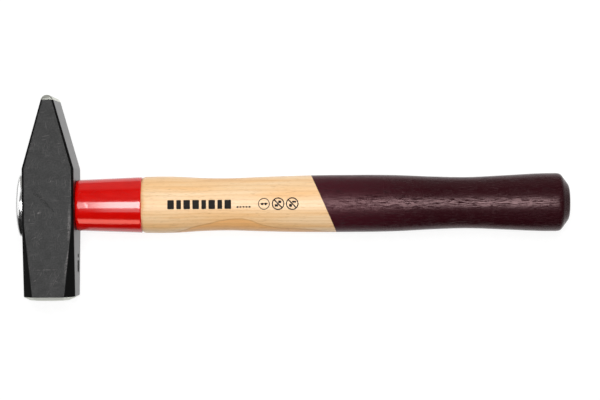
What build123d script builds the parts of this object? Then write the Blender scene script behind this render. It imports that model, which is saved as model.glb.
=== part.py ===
"""Cross peen hammer, 800 g pattern, as separate pieces in one frame, in millimetres.

The hammer lies on one cheek. +X runs along the handle towards the grip, +Y along the head
towards the peen, +Z up through the cheeks. The origin is on the lower cheek, under the
middle of the eye.
"""
from build123d import *
import os

# ---- head ----------------------------------------------------------------------------
HEAD_LENGTH = 131.4        # striking face to peen tip
HEAD_SQUARE = 33.0         # width and thickness at the eye
FACE_REACH = 61.2          # handle axis to the crown of the striking face
FACE_WIDTH = 32.8          # width along the handle, at the face
EYE_ZONE_EDGE = 1.5        # chamfer of the long edges beside the eye
FACET_START = 13.0         # handle axis to where the corner facets begin to grow
FACET_AT_FACE = 6.2        # facet size at the striking face
FACE_BEVEL = 3.2           # ground bevel round the striking face
CROWN_RISE = 1.3           # how far the face is crowned
PEEN_START = 23.5          # handle axis to the shoulder of the peen
PEEN_TIP_WIDTH = 6.3       # width of the wedge where it is cut off
PEEN_EDGE = 1.2            # chamfer of the peen's long edges
PEEN_TIP_RADIUS = 4.15     # rounding of the cut end

# ---- eye, an oval hole along X that flares to both mouths ----------------------------
EYE_LONG = 29.0            # along the head, in the middle of the eye
EYE_SHORT = 19.0           # across the head, in the middle of the eye
EYE_FLARE_TOP = 2.4        # growth of both axes at the top mouth
EYE_FLARE_BOTTOM = 1.0     # growth of both axes at the handle's mouth

# ---- handle --------------------------------------------------------------------------
HANDLE_LENGTH = 350.0      # top of the head to the butt
HANDLE_RATIO = 0.70        # thickness over height of the oval section
TENON_PROUD = 1.0          # end of the tenon above the head's top
NECK_END = 58.7            # where the sleeve stops and the full wood begins
WOOD_SHOULDER = 35.0       # height of the wood where it leaves the sleeve
BUTT_BEVEL_LENGTH = 5.8
BUTT_BEVEL_HEIGHT = 23.3   # height left after the bevel
BUTT_DOME = 1.5
BUTT_FLAT_HEIGHT = 13.0

# ---- sleeve --------------------------------------------------------------------------
SLEEVE_AT_HEAD = 32.8      # outer height where it meets the head
SLEEVE_AT_END = 35.9       # outer height at its free end
SLEEVE_WALL = 0.9

# ---- wedge in the tenon --------------------------------------------------------------
WEDGE_DEPTH = 26.0
WEDGE_MOUTH = 6.4
WEDGE_TOE = 1.4

# ---- retaining plate and its screw ---------------------------------------------------
PLATE_LONG = 44.0
PLATE_SHORT = 28.0
PLATE_HEIGHT = 5.4
PLATE_RIM = 1.8            # height of the upright rim
PLATE_FLAT = 9.0           # radius of the level middle, along the long axis
PLATE_WALL = 1.6
SCREW_HEAD = 9.0           # diameter of the countersunk head
SCREW_SHANK = 4.0
SCREW_LENGTH = 24.0        # over all
SCREW_CONE = 2.5           # height of the countersunk cone
HEX_ACROSS = 3.0           # hexagon socket, across flats
HEX_DEPTH = 1.8

AXIS_HEIGHT = HEAD_SQUARE / 2          # the handle's axis above the lower cheek
HEAD_TOP = -HEAD_SQUARE / 2            # the side of the head that carries the plate
HEAD_UNDER = HEAD_SQUARE / 2           # the side of the head that faces the grip
PEEN_REACH = HEAD_LENGTH - FACE_REACH
BUTT = HEAD_TOP + HANDLE_LENGTH

# (place along the handle, height of the grip there): the shoulder at the sleeve, a first
# swell, a waist, the belly, a second waist and the knob at the butt.
GRIP_STATIONS = [
    (NECK_END, WOOD_SHOULDER),
    (64.0, 36.1),
    (79.0, 36.1),
    (99.0, 34.0),
    (115.0, 33.6),
    (136.0, 35.0),
    (160.0, 36.3),
    (190.0, 36.7),
    (220.0, 36.2),
    (247.0, 33.9),
    (267.0, 33.0),
    (290.0, 34.8),
    (310.0, 36.8),
    (321.0, 37.3),
    (BUTT - BUTT_BEVEL_LENGTH - BUTT_DOME, 36.9),
]


def across_handle(x):
    """The plane square to the handle at x, with its own x along the head."""
    return Plane(origin=(x, 0, AXIS_HEIGHT), x_dir=(0, 1, 0), z_dir=(1, 0, 0))


def oval(x, height, thickness):
    """An ellipse square to the handle: height along the head, thickness across it."""
    return across_handle(x) * Ellipse(height / 2, thickness / 2)


def between(*sections, ruled=True):
    """The solid that runs straight (or smoothly) from section to section."""
    return Part() + loft([Sketch() + section for section in sections], ruled=ruled)


def head_section(y, width, edge):
    """A square with cut corners, square to the head's length at y."""
    plane = Plane(origin=(0, y, AXIS_HEIGHT), x_dir=(1, 0, 0), z_dir=(0, -1, 0))
    half_x = width / 2
    half_z = HEAD_SQUARE / 2
    corners = [
        (half_x, half_z - edge),
        (half_x - edge, half_z),
        (edge - half_x, half_z),
        (-half_x, half_z - edge),
        (-half_x, edge - half_z),
        (edge - half_x, -half_z),
        (half_x - edge, -half_z),
        (half_x, edge - half_z),
    ]
    return plane * Polygon(*corners, align=None)


def eye_space():
    """The double flare of the eye, right through the head."""
    top = oval(HEAD_TOP, EYE_LONG + EYE_FLARE_TOP, EYE_SHORT + EYE_FLARE_TOP)
    middle = oval(0, EYE_LONG, EYE_SHORT)
    under = oval(HEAD_UNDER, EYE_LONG + EYE_FLARE_BOTTOM, EYE_SHORT + EYE_FLARE_BOTTOM)
    return between(top, middle) + between(middle, under)


def crown_ball():
    """A ball whose surface gives the striking face its crown."""
    half = FACE_WIDTH / 2 - FACE_BEVEL
    radius = (half**2 + CROWN_RISE**2) / (2 * CROWN_RISE)
    return Pos(0, radius - FACE_REACH, AXIS_HEIGHT) * Sphere(radius)


def head_blank():
    """The forging before the eye: octagonal neck, square eye zone, wedge-shaped peen."""
    face = head_section(-FACE_REACH, FACE_WIDTH, FACET_AT_FACE)
    neck_top = head_section(-FACET_START, HEAD_SQUARE, EYE_ZONE_EDGE)
    shoulder = head_section(PEEN_START, HEAD_SQUARE, EYE_ZONE_EDGE)
    tip = head_section(PEEN_REACH, PEEN_TIP_WIDTH, PEEN_EDGE)
    neck = between(face, neck_top)
    neck = chamfer(neck.faces().sort_by(Axis.Y)[0].edges(), FACE_BEVEL)
    neck = neck & crown_ball()
    peen = between(shoulder, tip)
    long_tip_edges = peen.faces().sort_by(Axis.Y)[-1].edges().filter_by(Axis.Z)
    peen = fillet(long_tip_edges, PEEN_TIP_RADIUS)
    return neck + between(neck_top, shoulder) + peen


def hammer_head():
    """The forged head with its flared oval eye."""
    return head_blank() - eye_space()


def wedge_blank():
    """A flat taper along the tenon, its thick end flush with the end of the tenon."""
    mouth = HEAD_TOP - TENON_PROUD
    toe = mouth + WEDGE_DEPTH
    thick = across_handle(mouth) * Rectangle(HEAD_SQUARE, WEDGE_MOUTH)
    thin = across_handle(toe) * Rectangle(HEAD_SQUARE, WEDGE_TOE)
    return between(thick, thin)


def tenon():
    """The wood in the eye, spread to fill both flares, with its end proud of the head."""
    mouth_long = EYE_LONG + EYE_FLARE_TOP
    mouth_short = EYE_SHORT + EYE_FLARE_TOP
    stub = between(
        oval(HEAD_TOP - TENON_PROUD, mouth_long, mouth_short),
        oval(HEAD_TOP, mouth_long, mouth_short),
    )
    return stub + eye_space()


def sleeve_oval(x, height):
    """A section of the neck or sleeve: its height less its thickness is the same everywhere."""
    oval_excess = SLEEVE_AT_HEAD * (1 - HANDLE_RATIO)
    return oval(x, height, height - oval_excess)


def neck():
    """The rebated wood inside the sleeve."""
    near = SLEEVE_AT_HEAD - 2 * SLEEVE_WALL
    far = SLEEVE_AT_END - 2 * SLEEVE_WALL
    return between(sleeve_oval(HEAD_UNDER, near), sleeve_oval(NECK_END, far))


def grip():
    """The swelling grip behind the sleeve, with a bevelled, slightly domed butt."""
    sections = [oval(x, high, high * HANDLE_RATIO) for x, high in GRIP_STATIONS]
    bevel_end = BUTT - BUTT_DOME
    last_x, last_high = GRIP_STATIONS[-1]
    body = between(*sections, ruled=False)
    bevel = between(
        oval(last_x, last_high, last_high * HANDLE_RATIO),
        oval(bevel_end, BUTT_BEVEL_HEIGHT, BUTT_BEVEL_HEIGHT * HANDLE_RATIO),
    )
    dome = between(
        oval(bevel_end, BUTT_BEVEL_HEIGHT, BUTT_BEVEL_HEIGHT * HANDLE_RATIO),
        oval(BUTT, BUTT_FLAT_HEIGHT, BUTT_FLAT_HEIGHT * HANDLE_RATIO),
    )
    return body + bevel + dome


def handle():
    """One piece of hickory: tenon with a kerf, rebated neck and grip."""
    wood = tenon() + neck() + grip()
    return wood - wedge_blank() - screw_envelope()


def handle_wedge():
    """The wedge that fills the kerf, bored by the screw."""
    return (wedge_blank() & tenon()) - screw_envelope()


def protective_sleeve():
    """The steel tube over the neck, from the head to the full wood."""
    outside = between(
        sleeve_oval(HEAD_UNDER, SLEEVE_AT_HEAD), sleeve_oval(NECK_END, SLEEVE_AT_END)
    )
    return outside - neck()


def plate_dome(long, height):
    """An oval dome on the head's top: upright rim, quarter-round shoulder, level middle."""
    radius = long / 2
    start = (0, 0)
    outline = Polyline(start, (radius, 0), (radius, PLATE_RIM))
    shoulder = EllipticalCenterArc(
        (PLATE_FLAT, PLATE_RIM),
        radius - PLATE_FLAT,
        height - PLATE_RIM,
        start_angle=0,
        arc_size=90,
    )
    level = Polyline((PLATE_FLAT, height), (0, height), start)
    profile = make_face(Plane.XZ * (outline + shoulder + level))
    dome = revolve(profile, Axis.Z)
    dome = scale(dome, (1, PLATE_SHORT / PLATE_LONG, 1))
    return across_handle(HEAD_TOP) * Rot(0, 180, 0) * dome


def screw_axis_solid(profile_points):
    """A solid turned about the handle's axis, from (distance out of the head, radius)."""
    outline = [(-out, radius) for out, radius in profile_points]
    face = make_face(Polyline(*outline, close=True))
    turned = revolve(face, Axis.X)
    return Pos(HEAD_TOP, 0, AXIS_HEIGHT) * turned


def screw_envelope():
    """The screw without its socket: cone, shank and point."""
    top = PLATE_HEIGHT
    return screw_axis_solid(
        [
            (top, 0),
            (top, SCREW_HEAD / 2),
            (top - SCREW_CONE, SCREW_SHANK / 2),
            (top - SCREW_LENGTH + SCREW_SHANK, SCREW_SHANK / 2),
            (top - SCREW_LENGTH, 0),
        ]
    )


def retaining_screw():
    """Countersunk screw with a hexagon socket."""
    socket_plane = Plane(
        origin=(HEAD_TOP - PLATE_HEIGHT, 0, AXIS_HEIGHT), x_dir=(0, 1, 0), z_dir=(1, 0, 0)
    )
    hexagon = socket_plane * RegularPolygon(HEX_ACROSS / 2, 6, major_radius=False)
    return screw_envelope() - extrude(hexagon, HEX_DEPTH)


def retaining_plate():
    """Pressed plate over the eye, hollow below, dimpled for the screw's head."""
    outer = plate_dome(PLATE_LONG, PLATE_HEIGHT)
    hollow = plate_dome(PLATE_LONG - 2 * PLATE_WALL, PLATE_HEIGHT - PLATE_WALL)
    boss_top = PLATE_HEIGHT - PLATE_WALL / 2
    boss_foot = boss_top - SCREW_CONE
    boss = screw_axis_solid(
        [
            (boss_foot, 0),
            (boss_foot, SCREW_HEAD / 2),
            (boss_top, SCREW_HEAD / 2 + PLATE_WALL),
            (boss_top, 0),
        ]
    )
    return (outer - hollow) + boss - screw_envelope()


os.makedirs("parts", exist_ok=True)
PIECES = {
    "hammer_head": hammer_head,
    "handle": handle,
    "handle_wedge": handle_wedge,
    "protective_sleeve": protective_sleeve,
    "retaining_plate": retaining_plate,
    "retaining_screw": retaining_screw,
}
for name, make in PIECES.items():
    piece = make()
    export_step(piece, f"parts/{name}.step")
    print(name, len(piece.solids()), "solid", round(piece.volume), "mm3")
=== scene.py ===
# %% [markdown]
# # A cross peen hammer
# This lesson dresses a hammer that is already designed. The CAD model gives every piece its
# place and size, and Blender gives it a fine mesh and a surface. The hammer lies on one cheek:
# X runs along the handle, Y along the head towards the peen, Z up. Lengths are in metres.

# %% Load the frame
import math

import bmesh
import bpy
from mathutils import Matrix, Vector


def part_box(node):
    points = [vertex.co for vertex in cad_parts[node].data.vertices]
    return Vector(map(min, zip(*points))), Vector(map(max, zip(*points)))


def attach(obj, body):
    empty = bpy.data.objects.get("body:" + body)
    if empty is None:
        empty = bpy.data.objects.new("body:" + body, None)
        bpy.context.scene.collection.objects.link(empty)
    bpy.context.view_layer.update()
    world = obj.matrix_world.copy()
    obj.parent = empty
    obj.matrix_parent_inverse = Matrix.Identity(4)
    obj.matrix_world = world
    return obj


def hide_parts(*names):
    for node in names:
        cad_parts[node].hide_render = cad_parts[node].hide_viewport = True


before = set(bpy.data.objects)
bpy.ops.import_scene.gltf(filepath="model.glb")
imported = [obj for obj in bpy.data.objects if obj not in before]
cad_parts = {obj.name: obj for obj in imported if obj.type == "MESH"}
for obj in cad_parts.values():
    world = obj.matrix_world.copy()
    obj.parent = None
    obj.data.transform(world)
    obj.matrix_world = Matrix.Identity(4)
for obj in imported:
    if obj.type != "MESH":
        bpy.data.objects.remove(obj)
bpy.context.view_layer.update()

MM = 0.001
scene = bpy.context.scene

# %% [markdown]
# The main lengths come from the boxes of the CAD pieces, so the looks follow the design, and
# finer ones are named in the cell that first needs them. The handle's axis runs through the
# middle of the head's thickness.

# %% Measure the frame
head_low, head_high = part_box("hammer_head")
handle_low, handle_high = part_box("handle")
sleeve_low, sleeve_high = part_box("protective_sleeve")
plate_low, plate_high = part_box("retaining_plate")
screw_low, screw_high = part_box("retaining_screw")
AXIS = (head_low.z + head_high.z) / 2
TOP = head_low.x
UNDER = head_high.x
BUTT = handle_high.x
HANDLE_RATIO = (handle_high.z - handle_low.z) / (handle_high.y - handle_low.y)
print("head", [round(v / MM, 1) for v in head_high - head_low], "handle", round(HANDLE_RATIO, 3))

# %% [markdown]
# Three small tools are used all the way through: one feeds a node's inputs, one adds a node to
# any node tree with its settings and links, and one turns an sRGB hex colour, as a paint chart
# gives it, into the linear values that shaders work in.

# %% Node and colour helpers
def feed(tree, node, inputs):
    """Sets inputs. Each is a value, a socket, or a node whose first output is meant."""
    for socket, value in dict(inputs).items():
        if isinstance(value, bpy.types.Node):
            value = value.outputs[0]
        if isinstance(value, bpy.types.NodeSocket):
            tree.links.new(value, node.inputs[socket])
        else:
            node.inputs[socket].default_value = value


def add(tree, kind, inputs=(), **settings):
    """Adds one node with its settings and inputs."""
    made = tree.nodes.new(kind)
    for name, value in settings.items():
        setattr(made, name, value)
    feed(tree, made, inputs)
    return made


def linear(hex_code):
    """An sRGB hex colour as linear RGBA."""
    parts = [int(hex_code[i:i + 2], 16) / 255 for i in (1, 3, 5)]
    return tuple(p / 12.92 if p <= 0.04045 else ((p + 0.055) / 1.055) ** 2.4 for p in parts) + (1,)


def new_material(name):
    """An empty node material with a Principled shader wired to its output."""
    material = bpy.data.materials.new(name)
    material.use_nodes = True
    tree = material.node_tree
    tree.nodes.clear()
    shader = add(tree, "ShaderNodeBsdfPrincipled")
    add(tree, "ShaderNodeOutputMaterial", {"Surface": shader})
    return material, tree, shader

# %% [markdown]
# ## An oval lathe
# Handle, sleeve, plate and screw are all "turned" about the handle's axis, but on an oval. A
# real shop cuts such handles on a copying lathe. Here a Geometry Nodes tree does it: it reads
# an outline curve, where X is the place along the axis, Y is half the height and the point's
# radius is thickness over height, and it wraps a grid round the axis. Squareness above 2 fills
# the oval out towards a rounded rectangle.

# %% The lathe tree
WELD = 0.005 * MM             # points of the grid closer than this are merged
CREASE = math.radians(35)     # edges that bend more than this are drawn sharp


def new_tree(name, sockets):
    """A Geometry Nodes tree with named inputs, and its input node's outputs."""
    tree = bpy.data.node_groups.new(name, "GeometryNodeTree")
    for label, kind in sockets.items():
        tree.interface.new_socket(label, in_out="INPUT", socket_type="NodeSocket" + kind)
    tree.interface.new_socket("Geometry", in_out="OUTPUT", socket_type="NodeSocketGeometry")
    return tree, add(tree, "NodeGroupInput").outputs


def finish_tree(tree, geometry, material):
    """Ends a tree in Realize Instances and Set Material."""
    real = add(tree, "GeometryNodeRealizeInstances", {"Geometry": geometry})
    painted = add(tree, "GeometryNodeSetMaterial", {"Geometry": real, "Material": material})
    add(tree, "NodeGroupOutput", {"Geometry": painted})
    return tree


def lathe_tree():
    tree, given = new_tree("oval lathe", {
        "Outline": "Object", "Rings": "Int", "Sides": "Int", "Squareness": "Float",
        "Axis Height": "Float", "Crease": "Float", "Material": "Material"})
    curve = add(tree, "GeometryNodeObjectInfo", {"Object": given["Outline"]})
    columns = add(tree, "ShaderNodeMath", {0: given["Sides"], 1: 1.0}, operation="ADD")
    grid = add(tree, "GeometryNodeMeshGrid", {
        "Size X": 1.0, "Size Y": 1.0, "Vertices X": given["Rings"], "Vertices Y": columns})
    place = add(tree, "ShaderNodeSeparateXYZ", {0: add(tree, "GeometryNodeInputPosition")})
    along = add(tree, "ShaderNodeMath", {0: place.outputs["X"], 1: 0.5}, operation="ADD")
    sample = add(tree, "GeometryNodeSampleCurve", {
        "Curves": curve.outputs["Geometry"], "Value": add(tree, "GeometryNodeInputRadius"),
        "Factor": along}, mode="FACTOR", data_type="FLOAT")
    point = add(tree, "ShaderNodeSeparateXYZ", {0: sample.outputs["Position"]}).outputs
    angle = add(tree, "ShaderNodeMath", {
        0: place.outputs["Y"], 1: 2 * math.pi}, operation="MULTIPLY")
    power = add(tree, "ShaderNodeMath", {0: 2.0, 1: given["Squareness"]}, operation="DIVIDE")
    sides = []
    for wave in ("COSINE", "SINE"):
        swing = add(tree, "ShaderNodeMath", {0: angle}, operation=wave)
        size = add(tree, "ShaderNodeMath", {0: swing}, operation="ABSOLUTE")
        full = add(tree, "ShaderNodeMath", {0: size, 1: power}, operation="POWER")
        sign = add(tree, "ShaderNodeMath", {0: swing}, operation="SIGN")
        signed = add(tree, "ShaderNodeMath", {0: full, 1: sign}, operation="MULTIPLY")
        sides.append(add(tree, "ShaderNodeMath", {0: signed, 1: point["Y"]}, operation="MULTIPLY"))
    thin = add(tree, "ShaderNodeMath", {
        0: sides[1], 1: sample.outputs["Value"]}, operation="MULTIPLY")
    lifted = add(tree, "ShaderNodeMath", {0: thin, 1: given["Axis Height"]}, operation="ADD")
    spot = add(tree, "ShaderNodeCombineXYZ", {"X": point["X"], "Y": sides[0], "Z": lifted})
    wrapped = add(tree, "GeometryNodeSetPosition", {
        "Geometry": grid.outputs["Mesh"], "Position": spot})
    closed = add(tree, "GeometryNodeMergeByDistance", {"Geometry": wrapped, "Distance": WELD})
    fold = add(tree, "GeometryNodeInputMeshEdgeAngle").outputs["Unsigned Angle"]
    soft = add(tree, "FunctionNodeCompare", {0: fold, 1: given["Crease"]}, operation="LESS_THAN")
    smooth = add(tree, "GeometryNodeSetShadeSmooth", {
        "Geometry": closed, "Shade Smooth": soft}, domain="EDGE")
    return finish_tree(tree, smooth, given["Material"])


def new_piece(name, data):
    """An object at the origin, linked to the scene."""
    piece = bpy.data.objects.new(name, data)
    scene.collection.objects.link(piece)
    return piece


def evaluated_mesh(piece):
    """A plain mesh of what a piece looks like with its modifiers."""
    graph = bpy.context.evaluated_depsgraph_get()
    return bpy.data.meshes.new_from_object(piece.evaluated_get(graph), depsgraph=graph)


def settle(piece):
    """Applies a piece's modifiers and keeps the result as its plain mesh."""
    mesh = evaluated_mesh(piece)
    piece.modifiers.clear()
    piece.data = mesh
    mesh.name = piece.name


def run_tree(name, tree, inputs):
    """Runs a tree on an empty piece and keeps the result."""
    piece = new_piece(name, bpy.data.meshes.new(name))
    modifier = piece.modifiers.new(tree.name, "NODES")
    modifier.node_group = tree
    sockets = {s.name: s.identifier for s in tree.interface.items_tree if s.in_out == "INPUT"}
    for key, value in inputs.items():
        modifier[sockets[key]] = value
    settle(piece)
    return piece


LATHE = lathe_tree()

# %% [markdown]
# An outline is drawn with a Bezier curve. A point is either a corner or a smooth point, and a
# smooth point's automatic handles draw the swell of the handle from a few stations only.

# %% Outline and turning helpers
def outline(name, points):
    """A curve from (along, half height, thickness over height, "corner" or "smooth")."""
    curve = bpy.data.curves.new(name, "CURVE")
    curve.dimensions = "3D"
    curve.resolution_u = 32
    spline = curve.splines.new("BEZIER")
    spline.bezier_points.add(len(points) - 1)
    for point, (along, half, ratio, kind) in zip(spline.bezier_points, points):
        point.co = (along, half, 0)
        point.radius = ratio
        handle = "VECTOR" if kind == "corner" else "AUTO"
        point.handle_left_type = handle
        point.handle_right_type = handle
    return new_piece(name, curve)


def face_outwards(mesh):
    """Points every face of a closed shell outwards."""
    shell = bmesh.new()
    shell.from_mesh(mesh)
    bmesh.ops.recalc_face_normals(shell, faces=shell.faces)
    shell.to_mesh(mesh)
    shell.free()


def keep_one_material(mesh, material):
    """A tree's own mesh starts with an empty slot, so the slots are set afresh."""
    mesh.materials.clear()
    mesh.materials.append(material)
    mesh.polygons.foreach_set("material_index", [0] * len(mesh.polygons))


def turn(name, points, material, rings, sides=128, squareness=2.0):
    """Turns a piece on the oval lathe from the points of its outline."""
    guide = outline(name + "_outline", points)
    piece = run_tree(name, LATHE, {
        "Outline": guide, "Rings": rings, "Sides": sides, "Squareness": squareness,
        "Axis Height": AXIS, "Crease": CREASE, "Material": material})
    bpy.data.objects.remove(guide)
    keep_one_material(piece.data, material)
    face_outwards(piece.data)
    print(name, len(piece.data.polygons), "faces")
    return piece

# %% [markdown]
# ## Finishes
# Patterns are drawn in the hammer's own space, in millimetres about the handle's axis, so a
# grain of (8, 0.4, 0.4) is 8 mm long and 0.4 mm wide on the real thing.

# %% Millimetre space
def millimetres(tree, turned=(0, 0, 0)):
    """Object coordinates in millimetres about the handle's axis, turned by degrees."""
    space = add(tree, "ShaderNodeTexCoord").outputs["Object"]
    return add(tree, "ShaderNodeMapping", {
        "Vector": space, "Location": (0, 0, AXIS), "Scale": (MM, MM, MM),
        "Rotation": [math.radians(a) for a in turned]}, vector_type="TEXTURE")


def noise(tree, space, size, detail=2.0, rough=0.5):
    """Noise whose grains measure size = (x, y, z) millimetres."""
    stretched = add(tree, "ShaderNodeMapping", {
        "Vector": space, "Scale": [1 / s for s in size]}, vector_type="POINT")
    return add(tree, "ShaderNodeTexNoise", {
        "Vector": stretched, "Scale": 1.0, "Detail": detail, "Roughness": rough})


def blend(tree, factor, first, second):
    """Two colours mixed by a factor."""
    mixed = add(tree, "ShaderNodeMix", {0: factor, 6: first, 7: second}, data_type="RGBA")
    return mixed.outputs[2]


def spread(tree, value, low, high, to_low=0.0, to_high=1.0):
    """A value stretched from one range to another, without leaving it."""
    return add(tree, "ShaderNodeMapRange", {
        "Value": value, "From Min": low, "From Max": high, "To Min": to_low, "To Max": to_high})

# %% [markdown]
# Hickory is ring-porous: each year's layer starts with a row of open vessels and ends in dense
# late wood, so a handle shows fine straight lines. Where the turned waist cuts through a layer
# that lies flat, the line bends into an arch. Its course is drawn with a Float Curve along the
# handle. A clear lacquer gives the wood a soft gloss.

# %% Hickory colours and sizes
GRAIN_TURN = (-72, 0, 0)      # degrees, how the growth layers lie across the handle
LAYER = 2.3                   # mm, one year's growth
PALE_WOOD = linear("#E9CCA5")
WARM_WOOD = linear("#E5B67E")
ARCH_WOOD = linear("#E6AB6A")
LATE_WOOD = linear("#C08A52")
VESSEL = linear("#A06F42")
# course of the arch: place along the handle and across it, in millimetres
ARCH = [(60, -21), (84, -17), (92, -14.3), (103, -11.9), (110, -10.2), (121, -9.2),
        (125.5, -9.8), (132, -11.9), (139, -14.1), (146, -15.3), (160, -15.9), (175, -18)]
ARCH_FROM, ARCH_TO, ARCH_LOW, ARCH_HIGH = 60, 175, -22, -8


# %% Figure of the wood
def arch_distance(tree):
    """How far a point lies above the arch, in millimetres, with a slight waver."""
    waver = 1.3
    place = add(tree, "ShaderNodeSeparateXYZ", {0: millimetres(tree)}).outputs
    along = spread(tree, place["X"], ARCH_FROM, ARCH_TO)
    course = add(tree, "ShaderNodeFloatCurve", {"Value": along})
    curve = course.mapping.curves[0]
    dots = [((x - ARCH_FROM) / (ARCH_TO - ARCH_FROM), (y - ARCH_LOW) / (ARCH_HIGH - ARCH_LOW))
            for x, y in ARCH]
    curve.points[0].location = dots[0]
    curve.points[1].location = dots[-1]
    for dot in dots[1:-1]:
        curve.points.new(*dot)
    course.mapping.update()
    level = spread(tree, course, 0.0, 1.0, ARCH_LOW, ARCH_HIGH)
    ripple = noise(tree, millimetres(tree), (18, 2.5, 30), 2.0)
    waved = add(tree, "ShaderNodeMath", {
        0: ripple, 1: waver, 2: place["Y"]}, operation="MULTIPLY_ADD")
    above = add(tree, "ShaderNodeMath", {0: waved, 1: level}, operation="SUBTRACT")
    return add(tree, "ShaderNodeMath", {0: above, 1: waver / 2}, operation="SUBTRACT")


def growth_layers(tree, space):
    """0 to 1 through each year's layer, bent by a long warp and a short ripple."""
    depth = add(tree, "ShaderNodeSeparateXYZ", {0: space}).outputs["Z"]
    for size, detail, reach in (((110, 12, 12), 1.0, 3.0), ((26, 2.4, 2.4), 2.0, 0.8)):
        bend = noise(tree, space, size, detail)
        depth = add(tree, "ShaderNodeMath", {0: bend, 1: reach, 2: depth}, operation="MULTIPLY_ADD")
    years = add(tree, "ShaderNodeMath", {0: depth, 1: LAYER}, operation="DIVIDE")
    return add(tree, "ShaderNodeMath", {0: years}, operation="FRACT")


def soft_line(tree, distance, width):
    """A soft line where a distance is 0."""
    size = add(tree, "ShaderNodeMath", {0: distance}, operation="ABSOLUTE")
    return spread(tree, size, width * 0.3, width, 1.0, 0.0)


# %% Hickory under clear lacquer
def hickory():
    material, tree, shader = new_material("clear_lacquered_hickory")
    space = millimetres(tree, GRAIN_TURN)
    board = spread(tree, noise(tree, space, (90, 6, 6), 2.0), 0.35, 0.68)
    colour = blend(tree, board, PALE_WOOD, WARM_WOOD)
    above = arch_distance(tree)
    inside = spread(tree, above, -0.5, 0.2, 0.95, 0.0)
    colour = blend(tree, inside, colour, ARCH_WOOD)
    late = spread(tree, growth_layers(tree, space), 0.5, 0.95, 0.0, 0.3)
    colour = blend(tree, late, colour, LATE_WOOD)
    edge = soft_line(tree, above, 0.55)
    faint_edge = add(tree, "ShaderNodeMath", {0: edge, 1: 0.75}, operation="MULTIPLY")
    colour = blend(tree, faint_edge, colour, LATE_WOOD)
    fibres = noise(tree, space, (24, 0.4, 0.4), 3.0, 0.6)
    colour = blend(tree, spread(tree, fibres, 0.35, 0.7, 0.0, 0.4), colour, WARM_WOOD)
    vessels = noise(tree, space, (5, 0.28, 0.28), 1.0)
    colour = blend(tree, spread(tree, vessels, 0.62, 0.72, 0.0, 0.45), colour, VESSEL)
    relief = add(tree, "ShaderNodeBump", {
        "Strength": 0.12, "Distance": 0.05 * MM, "Height": fibres})
    feed(tree, shader, {"Base Color": colour, "Roughness": 0.3, "IOR": 1.5, "Normal": relief})
    return material

# %% [markdown]
# The grip was dipped in a dark plum lacquer. Such a thin coat sinks into the open vessels of
# the wood, so the gloss is broken by short dark grooves along the grain. Near the dip line the
# coat is thinner: redder, and less glossy.

# %% Plum dip lacquer
PLUM = linear("#290A10")
PLUM_THIN = linear("#390C17")
PLUM_DEEP = linear("#1A0509")
THIN_COAT = (175, 245)        # mm along the handle, where the coat grows to its full gloss


def plum_lacquer():
    material, tree, shader = new_material("plum_dip_lacquer")
    space = millimetres(tree, (-8, 0, 0))
    vessels = noise(tree, space, (7, 0.36, 0.36), 4.0, 0.75)
    patches = spread(tree, noise(tree, space, (28, 6, 6), 2.0), 0.3, 0.52, 0.5, 1.0)
    groove = spread(tree, vessels, 0.53, 0.63)
    groove = add(tree, "ShaderNodeMath", {0: groove, 1: patches}, operation="MULTIPLY")
    along = add(tree, "ShaderNodeSeparateXYZ", {0: space}).outputs["X"]
    coat = blend(tree, spread(tree, along, *THIN_COAT), PLUM_THIN, PLUM)
    colour = blend(tree, groove, coat, PLUM_DEEP)
    lean = spread(tree, along, *THIN_COAT, 0.34, 0.22)
    gloss = add(tree, "ShaderNodeMath", {0: groove, 1: 0.25, 2: lean}, operation="MULTIPLY_ADD")
    hollow = add(tree, "ShaderNodeMath", {0: 1.0, 1: groove}, operation="SUBTRACT")
    uneven = add(tree, "ShaderNodeMath", {0: vessels, 1: 0.5, 2: hollow}, operation="MULTIPLY_ADD")
    relief = add(tree, "ShaderNodeBump", {"Strength": 0.6, "Distance": 0.11 * MM, "Height": uneven})
    feed(tree, shader, {"Base Color": colour, "Roughness": gloss, "IOR": 1.5, "Normal": relief,
                        "Specular Tint": linear("#FFD4D7")})
    return material

# %% [markdown]
# The head is drop forged and dipped in a thin black lacquer. The facets and sides keep the deep
# black, which paints shade on them, and they mirror less than the rest. The two cheeks are what
# other heads rub against, so a grey haze scatters light there, under larger scuffs and
# hair-fine scratches in three directions. That grey is partly wear and partly painted light,
# which makes the cheeks lighter than the facets. Seen almost along the surface, even a matt
# coat mirrors like polish.

# %% Scuffs
# place (x, y), length, width and turn of each mark on the upper cheek, in mm and degrees
DARK_SCUFFS = [(-2.6, 3.0, 26, 3.2, -47), (-7.5, 6.5, 9, 1.2, -40), (3.0, -2.5, 8, 1.0, -52)]
LIGHT_SCUFFS = [
    (-5.2, -4.6, 3.4, 1.6, 15), (-8.4, -20.4, 4.5, 0.5, 28), (-5.2, -21.6, 5.5, 0.4, 35),
    (-6.0, -24.0, 4.0, 0.4, -30), (-2.0, -40.7, 19, 0.45, 1), (-8.0, -47.5, 6, 0.5, 35),
    (-11.5, -9.0, 3.0, 0.6, 80), (2.5, 16.0, 5.0, 0.4, 60), (5.0, -48.0, 5.0, 0.4, -20),
    (13.6, -12.0, 30, 2.4, 88), (12.2, -36.0, 24, 2.2, 82), (15.0, 12.0, 16, 1.2, 90)]
CHEEK_LEVEL = 16.5            # mm from the handle's axis up to the cheek
SCUFF_DEPTH = 4               # mm, how far down from the cheek a mark reaches


def strongest(tree, marks):
    """The largest of several values."""
    total = marks[0]
    for mark in marks[1:]:
        total = add(tree, "ShaderNodeMath", {0: total, 1: mark}, operation="MAXIMUM")
    return total


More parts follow.
